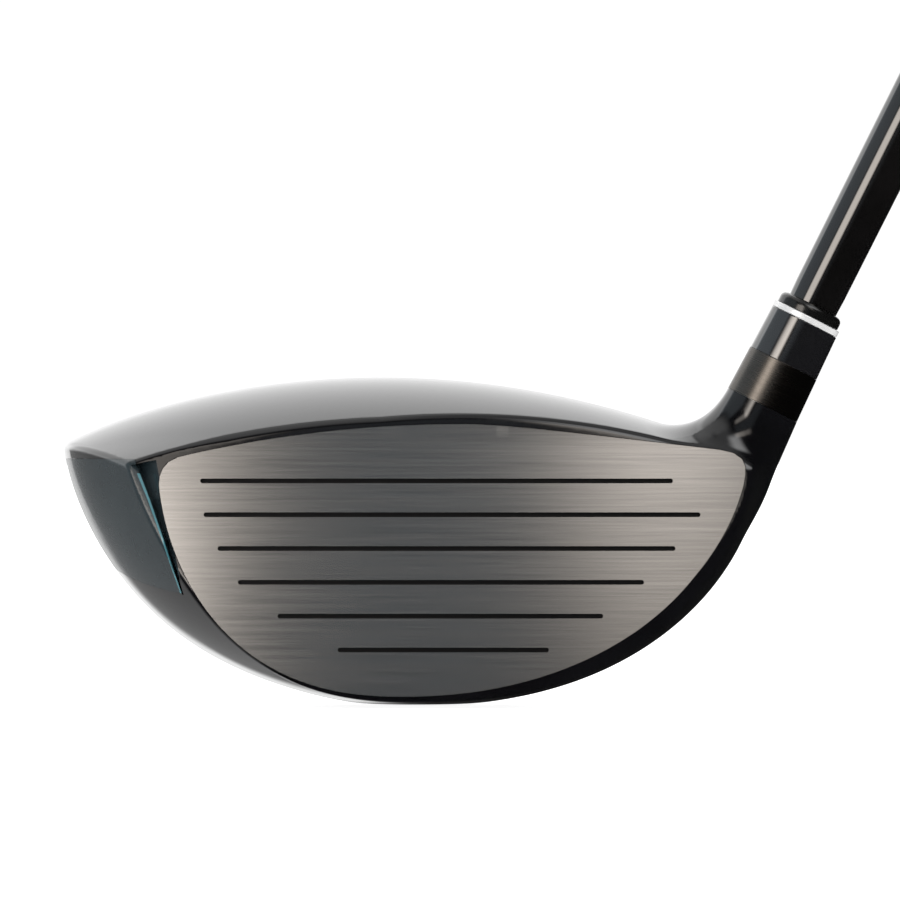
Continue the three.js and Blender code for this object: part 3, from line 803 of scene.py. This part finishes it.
# The ridge carries a strip of its own in a bright teal. This is a painted highlight: the panel's own teal
# made much brighter to stand for the line of light along the ridge.
ridge_highlight_piece = copy_of(toe_piece, "toe_ridge_painted_highlight_strip")
highlight_strip = [(x - w, z) for (x, z), w in zip(RIDGE, RIDGE_HIGHLIGHT_WIDTHS)] + [(-53.7, 39.8)]
highlight_strip_tool = prism("r", highlight_strip + [(-40, highlight_strip[-1][1]), (-40, 17), (-45.9, 17)], square_y, -60, -14.5)
cut(ridge_highlight_piece, highlight_strip_tool, "INTERSECT", keep_tool=True)
cut(toe_piece, highlight_strip_tool)

# Face plate: a piece of its own with six score lines, listed by their ends in X from the lowest up.
plate = prism("face_plate_brushed", face_outline(SEAM), square_y, -60, -5)
cut(plate, face_block("f", 0.0), "INTERSECT")
cut(plate, face_block("f", PLATE))
SCORE_LOW, SCORE_PITCH, SCORE_HALF, SCORE_DEPTH = 9.6, 5.78, 0.4, 0.45
SCORES = [(-19.2, 16.9), (-29.5, 26.2), (-36.3, 33.2), (-39.8, 38.6), (-42.2, 42.9), (-42.8, 38.2)]
for i, (x0, x1) in enumerate(SCORES):
    z = SCORE_LOW + SCORE_PITCH * i
    outline = []
    for x, turn in ((x0 + SCORE_HALF, math.pi / 2), (x1 - SCORE_HALF, -math.pi / 2)):
        for k in range(17):
            a = turn + math.pi * k / 16
            outline.append((x + SCORE_HALF * math.cos(a), z + SCORE_HALF * math.sin(a)))
    groove = prism("g", outline, square_y, -60, -5)
    cut(groove, face_block("f", SCORE_DEPTH))
    cut(plate, groove)
cut(shell, cut(prism("p", face_outline(-SEAM), square_y, -60, -5), face_block("f", PLATE_BED)))

# Hosel bore and bolt well in one, the weight pocket, and the flat end of the hosel.
well_and_bore = [
    (0, -10), (BOLT_WELL, -10), (BOLT_WELL, BOLT_SEAT), (BOLT_BORE, BOLT_SEAT), (BOLT_BORE, 29),
    (6.6, 29), (6.6, 37.5), (HOSEL_BORE, 37.5), (HOSEL_BORE, HOSEL_TOP - 0.35, 0),
    (5.8, HOSEL_TOP + 0.05, 0), (5.8, 66, 0), (0, 66),
]
pocket = [(0, -12), (POCKET, -12), (POCKET, POCKET_FLOOR), (3.9, POCKET_FLOOR), (3.9, 15), (0, 15)]
beyond_the_hosel = [(0, HOSEL_TOP), (14, HOSEL_TOP, 0), (14, 70, 0), (0, 70)]
close = 1 - ((WEIGHT_Y - BACK_FROM) / DEPTH) ** 2
WEIGHT_FOOT = np.array([CENTRE_X, WEIGHT_Y, RIM * (1 - math.sqrt(close))]) + WEIGHT_SUNK * WEIGHT_AXIS
cut(shell, lathe("b", well_and_bore, radius=0.05))
cut(shell, lathe("w", pocket, WEIGHT_FOOT, WEIGHT_AXIS, radius=0.05))
cut(shell, lathe("t", beyond_the_hosel, radius=0))
shell.name = "head_gloss"

for obj in (shell, crown_piece, toe_piece, ridge_highlight_piece):
    field_normals(obj, head)
field_normals(plate, face, 20.0)
# The brushing runs along X, so highlights stretch up and down: the first coordinate of this map follows Z.
brush_map = plate.data.uv_layers.new(name="brushing")
for loop in plate.data.loops:
    x, y, z = plate.data.vertices[loop.vertex_index].co
    brush_map.data[loop.index].uv = (z * 5 + 0.5, x * 5 + 0.5)


def assign(obj, pick):
    """Give each face the material slot that pick returns for its centre, in millimetres, and its normal."""
    for polygon in obj.data.polygons:
        polygon.material_index = pick(np.array(polygon.center) / MM, np.array(polygon.normal))


def in_bore(c, n):
    """1 on the walls and floors of the bores, 0 elsewhere."""
    s, r = along(c, FOOT, AXIS)
    inward = np.dot(n, c - FOOT - s * AXIS) < -0.5 * r
    wall_or_floor = inward or abs(np.dot(n, AXIS)) > 0.97
    if (r < 5.7 or (r < 6.8 and 28 < s < 38)) and wall_or_floor and s < HOSEL_TOP - 0.2:
        return 1
    s, r = along(c, WEIGHT_FOOT, WEIGHT_AXIS)
    if r < 11.4 and -4 < s < 16 and (s > 7 or np.dot(n, c - WEIGHT_FOOT - s * WEIGHT_AXIS) < -0.5 * r):
        return 1
    return 0


def is_score(c):
    for i, (x0, x1) in enumerate(SCORES):
        if abs(c[2] - SCORE_LOW - SCORE_PITCH * i) < 0.42 and x0 - 0.1 < c[0] < x1 + 0.1:
            return True
    return False


def groove_walls(c, n):
    """1 on the walls and floors of the score lines, 0 elsewhere."""
    front = face_y(c[0], c[2])
    return 1 if front + 0.05 < c[1] < front + 0.6 and is_score(c) else 0


def shell_slots(c, n):
    """2 in the channel beside the face, 1 in the bores, 0 elsewhere."""
    beside_face = -54.5 < c[0] < -45 and 18 < c[2] < 41 and c[1] < -8
    return 2 if beside_face and head(c) < -0.12 else in_bore(c, n)


dress(shell, paint, bore_metal, toe_material)
assign(shell, shell_slots)
dress(crown_piece, crown_paint)
dress(toe_piece, toe_material)
# The ridge strip takes the bright teal of the painted highlight.
dress(ridge_highlight_piece, ridge_highlight_paint)
dress(plate, face_metal, score_paint)
assign(plate, groove_walls)
ride(shell, "head", "head_body")
ride(crown_piece, "head", "crown_shell")
ride(toe_piece, "head", "toe_panel")
ride(ridge_highlight_piece, "head", "toe_panel")
ride(plate, "head", "face_plate")


def fitting(name, profile, m, body, slot, *nodes, **options):
    """Turned piece, dressed and tied to its body."""
    obj = dress(lathe(name, profile, **options), m)
    ride(obj, body, *nodes)


def hexagon(name, radius, low, high, foot=FOOT, axis=AXIS):
    """Tool that cuts a hexagonal socket."""
    return lathe(name, rod(radius, low, high), foot, axis, radius=0, segments=6)


# ---------------------------------------------------------------- hosel fittings
fitting("liner_bush", tube(HOSEL_BORE, 6.3, 29.3, 37.2), liner_metal, "head", "liner_metal", "hosel_liner")
fitting("washer_ring", tube(BOLT_BORE, 5.1, 25.1, 25.7), steel, "head", "steel", "bolt_washer")
fitting(
    "retainer_ring", tube(2.75, 4.2, 29.3, 30.6),
    soft_black, "head", "soft_black", "bolt_retainer", radius=0.5,
)

thread = [(2.45, 24.8)]
for k in range(15):
    thread += [(2.45, 29.6 + 0.9 * k), (2.12, 30.05 + 0.9 * k)]
bolt_profile = [(0, 20.3), (4.4, 20.3, 0.4), (4.4, 24.8), *thread, (2.3, 43.2), (1.9, 44), (0, 44)]
bolt = lathe("bolt_machined", bolt_profile, radius=0.1)
cut(bolt, hexagon("x", 2.1, 17, 23))
smooth(bolt)
dress(bolt, steel)
ride(bolt, "bolt", "hosel_bolt")

fitting(
    "ring_band",
    [(HOSEL_BORE, 60), (HOSEL_BORE, 57.69), (6.6, 57.69, 0.05), (6.38, 65.74, 0.05), (HOSEL_BORE, 65.74),
     (HOSEL_BORE, 60)],
    ring_metal, "ring", "ring_metal", "adjusting_ring",
)

# Sleeve: a stem with eight flutes at its low end, under the part that shows.
STEM, SHOULDER, FLUTES = 5.15, 65.78, 8
sleeve_profile = [
    (2.75, 36), (2.75, 31), (STEM, 31, 0.6), (STEM, SHOULDER), (6.34, SHOULDER, 0.05), (6.14, 73.7, 0.05),
    (4.55, 73.72), (4.55, 46.7), (2.75, 45), (2.75, 36),
]
sleeve = lathe("sleeve_machined", sleeve_profile, radius=0.06)
flute = [(STEM + 0.7 * math.cos(t * math.pi / 8), 0.6 * math.sin(t * math.pi / 8)) for t in range(16)]
TO_HOSEL = Vector((0, 0, 1)).rotation_difference(Vector(AXIS)).to_matrix()


def turned_to(a):
    """How a prism's outline lies when it is turned by a round the hosel axis and drawn out along it."""

    def place(u, v, w):
        p = TO_HOSEL @ Vector((u * math.cos(a) - v * math.sin(a), u * math.sin(a) + v * math.cos(a), w))
        return (FOOT[0] + p.x, FOOT[1] + p.y, FOOT[2] + p.z)

    return place


def on_stem(c, n):
    """1 on the stem and in the bore of the sleeve, 0 on the part that shows."""
    s, r = along(c, FOOT, AXIS)
    return 1 if r < 5.3 or s < 65.6 else 0


for i in range(FLUTES):
    cut(sleeve, prism("s", flute, turned_to(2 * math.pi * i / FLUTES), 29, 37.5))
smooth(sleeve)
dress(sleeve, sleeve_metal, stem_metal)
assign(sleeve, on_stem)
ride(sleeve, "shaft_assembly", "adapter_sleeve")

fitting(
    "trim_bright", tube(4.6, 6.16, 73.78, 74.85),
    silver, "shaft_assembly", "bright_trim", "trim_ring", radius=0.18,
)
fitting(
    "ferrule_collar",
    [(4.6, 76), (4.6, 74.92), (5.7, 74.92, 0.1), (5.7, 76.2, 0.3), (5.35, 76.75, 0.3), (4.62, 77.0, 0.1),
     (4.6, 76)],
    ferrule_plastic, "shaft_assembly", "ferrule_plastic", "ferrule",
)


# ---------------------------------------------------------------- shaft and grip
def shaft_radius(s):
    """Parallel tip, a short flare out of the ferrule, then an even taper to the top."""
    if s < 72:
        return TIP_RADIUS
    if s < 80:
        return TIP_RADIUS + 0.25 * (s - 72) / 8
    return 4.5 + 3.1 * (s - 80) / (SHAFT_TOP - 80)


stations = [47, 72, 80, 150, 220, 300, 380, 460, 540, 620, 700, 780, 860, 940, 1020, 1100, SHAFT_TOP]
outer = [(shaft_radius(s), s, 0) for s in stations]
inner = [(shaft_radius(s) - SHAFT_WALL, s, 0) for s in reversed(stations)]
shaft_profile = outer + inner + [outer[0]]
fitting("shaft_tube", shaft_profile, shaft_paint, "shaft_assembly", "shaft_paint", "shaft", angle=30)
fitting("plug_cork_tip", rod(2.75, 47.5, 52), cork, "shaft_assembly", "plug_cork", "tip_plug", radius=0.3)

tape_low, tape_high = GRIP_LOW + 4, SHAFT_TOP - 1
fitting(
    "tape_layer",
    [(shaft_radius(tape_low) + 0.3, tape_low), (shaft_radius(tape_low) + 0.6, tape_low),
     (shaft_radius(tape_high) + 0.6, tape_high), (shaft_radius(tape_high) + 0.3, tape_high),
     (shaft_radius(tape_low) + 0.3, tape_low)],
    tape, "shaft_assembly", "tape", "grip_tape", radius=0,
)


def grip_radius(s):
    """The grip swells toward its cap."""
    t = (s - GRIP_LOW) / (SHAFT_TOP - GRIP_LOW)
    return 9.75 + 1.9 * t + 1.7 * t * t


DASH_PITCH, DASHES_ROUND, DASH_DEPTH = 3.2, 22, 0.32


def grip_relief(s, a):
    """Depth of the moulded pattern: short staggered dashes between smooth bands."""
    t = s - GRIP_LOW
    if t < 14 or t > 256 or 128 < t < 136:
        return 0.0
    row = math.floor(t / DASH_PITCH)
    along_row = (t / DASH_PITCH) % 1
    across = (a / (2 * math.pi) * DASHES_ROUND + (0.5 if row % 2 else 0)) % 1
    lengthwise = min(1, max(0, (0.3 - abs(along_row - 0.5)) / 0.12))
    crosswise = min(1, max(0, (0.33 - abs(across - 0.5)) / 0.1))
    return DASH_DEPTH * (lengthwise * crosswise)


def grip_mesh():
    """Grip as rings of radius, distance along the axis, and whether the ring carries the pattern."""
    rows = []
    for s in np.arange(GRIP_LOW + 8, SHAFT_TOP - 3, 0.8):
        rows.append((grip_radius(s), s, True))
    mouth = [(9.1, GRIP_LOW, False), (9.9, GRIP_LOW + 0.3, False), (10.15, GRIP_LOW + 1.2, False),
             (10.15, GRIP_LOW + 4.8, False), (9.95, GRIP_LOW + 5.8, False), (9.78, GRIP_LOW + 6.6, False)]
    top = [(13.35, SHAFT_TOP - 2, False), (13.5, SHAFT_TOP - 0.8, False), (13.4, SHAFT_TOP - 0.1, False),
           (8.6, SHAFT_TOP, False)]
    inside = [(8.5, SHAFT_TOP - 0.4, False), (shaft_radius(GRIP_LOW) + 0.9, GRIP_LOW + 0.1, False)]
    rings = mouth + rows + top + inside
    n = 176
    to_hosel = np.array(TO_HOSEL)
    verts = []
    for r, s, moulded in rings:
        for i in range(n):
            a = 2 * math.pi * i / n
            d = r - (grip_relief(s, a) if moulded else 0)
            verts.append(FOOT + to_hosel @ np.array([d * math.cos(a), d * math.sin(a), s]))
    faces = []
    count = len(rings)
    for k in range(count):
        for i in range(n):
            j = (i + 1) % n
            k2 = (k + 1) % count
            faces.append((k * n + i, k * n + j, k2 * n + j, k2 * n + i))
    obj = new_object("grip_moulded", np.array(verts), np.array(faces))
    smooth(obj, 50)
    return obj


grip = dress(grip_mesh(), rubber)
ride(grip, "shaft_assembly", "grip")
fitting(
    "cap_moulded",
    [(1.2, SHAFT_TOP + 3), (1.2, SHAFT_TOP + 0.15), (13.9, SHAFT_TOP + 0.15, 0.2), (14.4, SHAFT_TOP + 1, 0.4),
     (14.4, 1148.8, 1.2), (12.6, 1150.6, 1.5), (11.0, 1150.9, 0.3), (10.6, 1150.4, 0.3), (6, 1150.4, 0.4),
     (5.2, 1151, 0.5), (1.2, 1151, 0.3), (1.2, SHAFT_TOP + 3)],
    rubber, "shaft_assembly", "grip_rubber", "grip_cap",
)

# ---------------------------------------------------------------- rear weight
on_weight = {"foot": WEIGHT_FOOT, "axis": WEIGHT_AXIS}
fitting(
    "weight_puck",
    [(4.9, 2), (4.9, 0.3), (8, 0.3, 0.1), (8.2, 0.55, 0.1), (8.6, 0.55, 0.1), (8.8, 0.3, 0.1),
     (10.5, 0.3, 0.4), (11, 0.9, 0.4), (11, 6.2), (3.2, 6.2), (3.2, 3.9), (4.9, 3.9), (4.9, 2)],
    weight_metal, "weight", "weight_metal", "rear_weight", **on_weight,
)
fitting(
    "seal_ring", tube(2.8, 5, 6.4, 7.0),
    soft_black, "weight", "soft_black", "weight_seal", radius=0.25, **on_weight,
)
fitting("insert_bush", tube(2.8, 3.6, 7.4, 14.6), brass, "head", "insert_brass", "weight_insert", **on_weight)
thread = [(2.5, 3.6)]
for k in range(10):
    thread += [(2.5, 5.0 + 0.85 * k), (2.18, 5.4 + 0.85 * k)]
screw_profile = [(0, 0.5), (4.6, 0.5, 0.5), (4.6, 3.6), *thread, (2.3, 13.6), (2.0, 14), (0, 14)]
screw = lathe("screw_machined", screw_profile, radius=0.08, **on_weight)
cut(screw, hexagon("x", 2.2, -3, 2.6, **on_weight))
smooth(screw)
dress(screw, steel)
ride(screw, "weight_bolt", "weight_screw")

# ---------------------------------------------------------------- floor, light and camera, in metres
FLOOR_REACH, FLOOR_Z, FLOOR_GLOW, WORLD_LIGHT = 60.0, -0.0004, 0.93, 1.05
corners = [(x * FLOOR_REACH, y * FLOOR_REACH) for x, y in ((-1, -1), (1, -1), (1, 1), (-1, 1))]
floor_mesh = bpy.data.meshes.new("floor")
floor_mesh.from_pydata([(x, y, FLOOR_Z) for x, y in corners], [], [(0, 1, 2, 3)])
floor = add_object("floor", floor_mesh)
floor_material = material("pale_floor", (0.9, 0.9, 0.9), 0.9, spec=0.1)
bsdf(floor_material).inputs["Emission Color"].default_value = (1, 1, 1, 1)
bsdf(floor_material).inputs["Emission Strength"].default_value = FLOOR_GLOW
floor.data.materials.append(floor_material)
floor.visible_glossy = False

world = bpy.data.worlds.new("studio")
world.use_nodes = True
world.node_tree.nodes["Background"].inputs["Color"].default_value = (1, 1, 1, 1)
world.node_tree.nodes["Background"].inputs["Strength"].default_value = WORLD_LIGHT
bpy.context.scene.world = world


def studio_dome():
    """The soft boxes of LIGHTS on a sphere, dark between them, and seen only in reflections."""
    bm = bmesh.new()
    bmesh.ops.create_uvsphere(bm, u_segments=64, v_segments=32, radius=DOME_RADIUS)
    mesh = bpy.data.meshes.new("studio_dome")
    bm.to_mesh(mesh)
    bm.free()
    dome = add_object("studio_dome", mesh)
    m = bpy.data.materials.new("studio_dome")
    m.use_nodes = True
    m.node_tree.nodes.remove(bsdf(m))
    coord = m.node_tree.nodes.new("ShaderNodeTexCoord")
    unit = m.node_tree.nodes.new("ShaderNodeVectorMath")
    unit.operation = "NORMALIZE"
    link(m, coord.outputs["Object"], unit.inputs[0])
    split = m.node_tree.nodes.new("ShaderNodeSeparateXYZ")
    link(m, unit.outputs["Vector"], split.inputs["Vector"])

    def maths(operation, a, b=None):
        n = m.node_tree.nodes.new("ShaderNodeMath")
        n.operation = operation
        for k, value in enumerate((a, b)):
            if isinstance(value, (int, float)):
                n.inputs[k].default_value = value
            elif value is not None:
                link(m, value, n.inputs[k])
        return n.outputs[0]

    x, y, z = split.outputs
    turn = maths("DEGREES", maths("ARCTAN2", x, maths("MULTIPLY", y, -1.0)))
    back_turn = maths("DEGREES", maths("ARCTAN2", x, y))
    height = maths("DEGREES", maths("ARCSINE", z))

    def between(value, low, high, soft):
        """1 between low and high, fading to 0 over soft at each end."""
        out = None
        for edge, sign in ((low, 1), (high, -1)):
            n = m.node_tree.nodes.new("ShaderNodeMapRange")
            n.interpolation_type = "SMOOTHSTEP"
            n.inputs["From Min"].default_value = edge - soft * sign / 2
            n.inputs["From Max"].default_value = edge + soft * sign / 2
            link(m, value, n.inputs["Value"])
            out = n.outputs["Result"] if out is None else maths("MULTIPLY", out, n.outputs["Result"])
        return out

    total = None
    for angle, (a0, a1, asoft), (h0, h1, hsoft), strength, colour in LIGHTS:
        value = turn if angle == "front" else back_turn
        box = between(height, h0, h1, hsoft)
        if a1 - a0 < 360:
            box = maths("MULTIPLY", box, between(value, a0, a1, asoft))
        glow = node(m, "ShaderNodeEmission")
        glow.inputs["Color"].default_value = (*colour, 1)
        link(m, maths("MULTIPLY", box, strength), glow.inputs["Strength"])
        if total is None:
            total = glow.outputs["Emission"]
        else:
            join = m.node_tree.nodes.new("ShaderNodeAddShader")
            link(m, total, join.inputs[0])
            link(m, glow.outputs["Emission"], join.inputs[1])
            total = join.outputs["Shader"]
    link(m, total, m.node_tree.nodes["Material Output"].inputs["Surface"])
    mesh.materials.append(m)
    dome.visible_camera = False
    dome.visible_diffuse = False
    dome.visible_shadow = False
    dome.visible_transmission = False


# Each soft box: the side from which its azimuth counts, azimuth (from, to, softness of the ends), elevation
# (the same), strength and colour, with the angles in degrees. "front" is where the face looks, and plus is to
# the heel.
DOME_RADIUS = 30
WARM, NEUTRAL, COOL = (1.0, 0.92, 0.84), (1.0, 1.0, 1.0), (0.82, 0.92, 1.0)
LIGHTS = [
    ("front", (-180, 180, 1), (-91, 91, 1), 0.008, NEUTRAL),
    ("back", (-21, 14, 12), (2, 56, 5), 0.95, NEUTRAL),
    ("back", (-21, -0.6, 1.2), (-9, 2, 5), 0.8, NEUTRAL),
    ("back", (-64, -19, 12), (4, 56, 14), 0.85, NEUTRAL),
    ("back", (-80, -4, 12), (-45, 10, 10), 0.2, NEUTRAL),
    ("front", (-180, 180, 1), (58, 91, 20), 0.3, NEUTRAL),
    ("back", (-160, 10, 40), (56, 86, 14), 0.22, NEUTRAL),
    ("front", (16, 78, 26), (42, 64, 16), 2.0, NEUTRAL),
    ("front", (-125, -50, 14), (-8, 50, 14), 0.3, COOL),
    ("front", (-46, -21, 8), (4, 22, 6), 3.4, WARM),
    ("front", (-29, -18, 8), (17, 42, 8), 1.3, WARM),
    ("front", (10, 22, 8), (13, 48, 12), 1.0, WARM),
    ("front", (9, 24, 6), (28, 50, 10), 0.6, WARM),
    ("front", (-14, 7, 6), (5, 45, 10), 0.13, COOL),
]
studio_dome()

lamp_data = bpy.data.lights.new("soft_top", "AREA")
lamp_data.size = 1.6
lamp_data.energy = 12
lamp = add_object("soft_top", lamp_data)
lamp.location = (0.3, -0.6, 2.2)
lamp.rotation_euler = (Vector((0, 0, 0.04)) - lamp.location).to_track_quat("-Z", "Y").to_euler()
lamp.visible_glossy = False

bpy.context.scene.view_settings.view_transform = "Standard"

# The camera looks square to the face. SPAN is the width that it sees at AIM.
DISTANCE, SPAN, SENSOR = 3.5, 0.154, 36
AIM = Vector((0, -0.025, 0.0438))
camera_data = bpy.data.cameras.new("camera")
camera_data.sensor_width = SENSOR
camera_data.lens = SENSOR * DISTANCE / SPAN
camera_data.clip_start = 0.05
camera_data.clip_end = 200
camera = add_object("camera", camera_data)
camera.location = AIM + DISTANCE * Vector((0, -1, 0))
camera.rotation_euler = (AIM - camera.location).to_track_quat("-Z", "Y").to_euler()
bpy.context.scene.camera = camera
